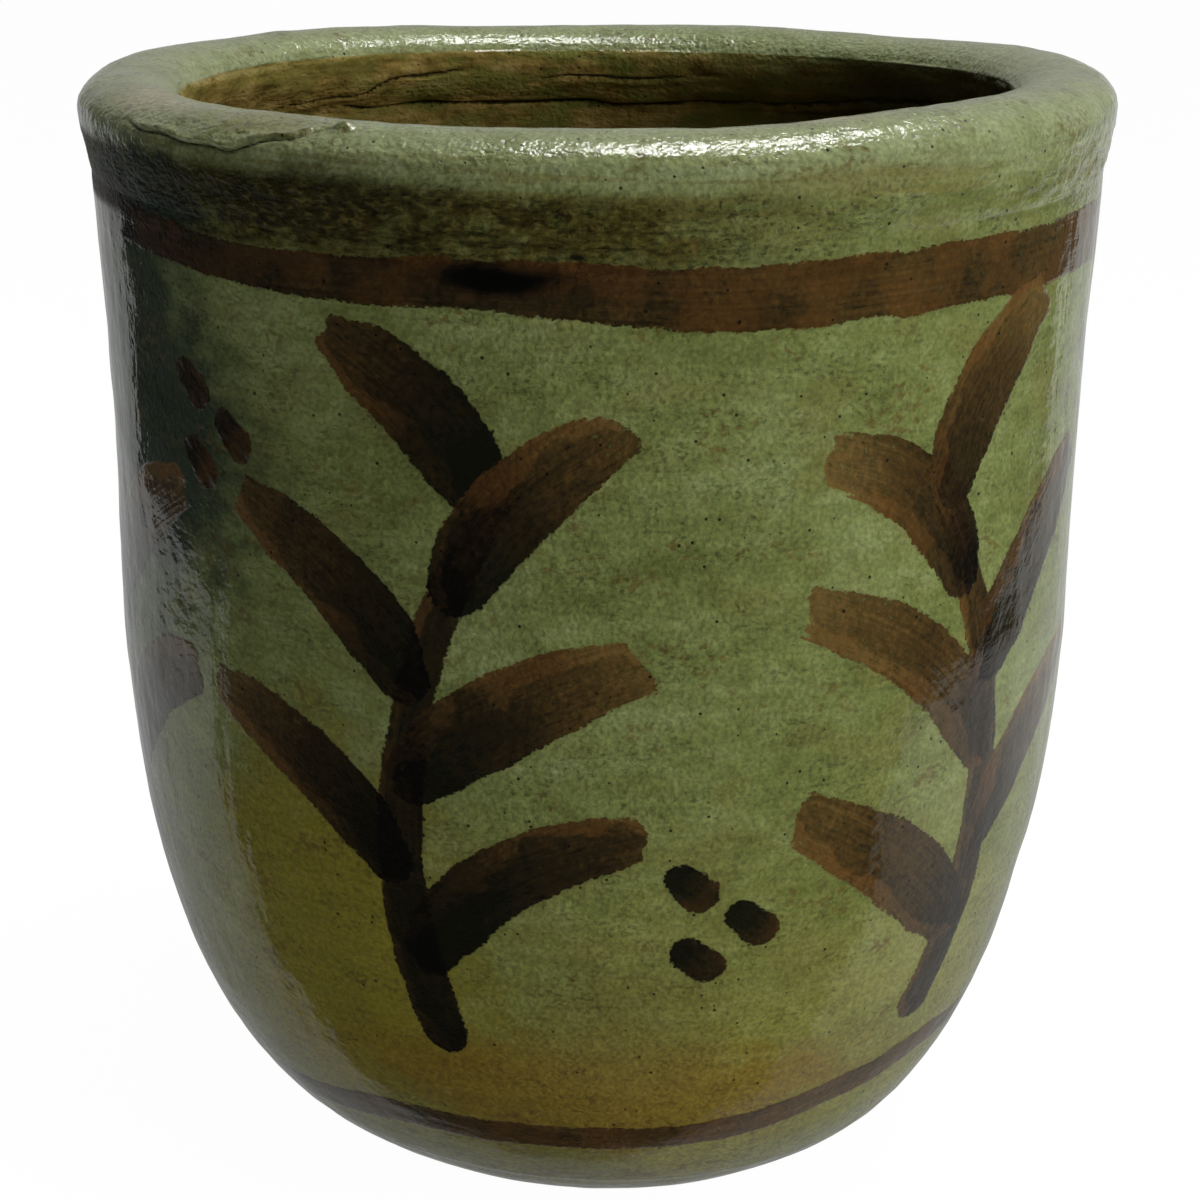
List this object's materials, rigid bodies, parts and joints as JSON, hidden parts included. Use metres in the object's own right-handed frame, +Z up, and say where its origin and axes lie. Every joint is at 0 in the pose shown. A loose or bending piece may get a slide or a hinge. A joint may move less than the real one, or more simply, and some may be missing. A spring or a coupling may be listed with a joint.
{
  "type": "flower pot",
  "caption": "Round hand-made flower pot with a rounded bowl, nearly upright wall, thick rolled rim and a drain hole in its small flat foot.",
  "frame": {"origin": "middle of the underside of the foot", "axes": "+Z up, along the pot's axis"},
  "size_m": [0.2, 0.2, 0.216],
  "materials": {
    "glazed_clay": "glossy sage-green glaze with iron-brown brushwork"
  },
  "bodies": {
    "root": {"floor_slab": "glazed_clay", "wall": "glazed_clay", "rim_coil": "glazed_clay"}
  },
  "joints": []
}
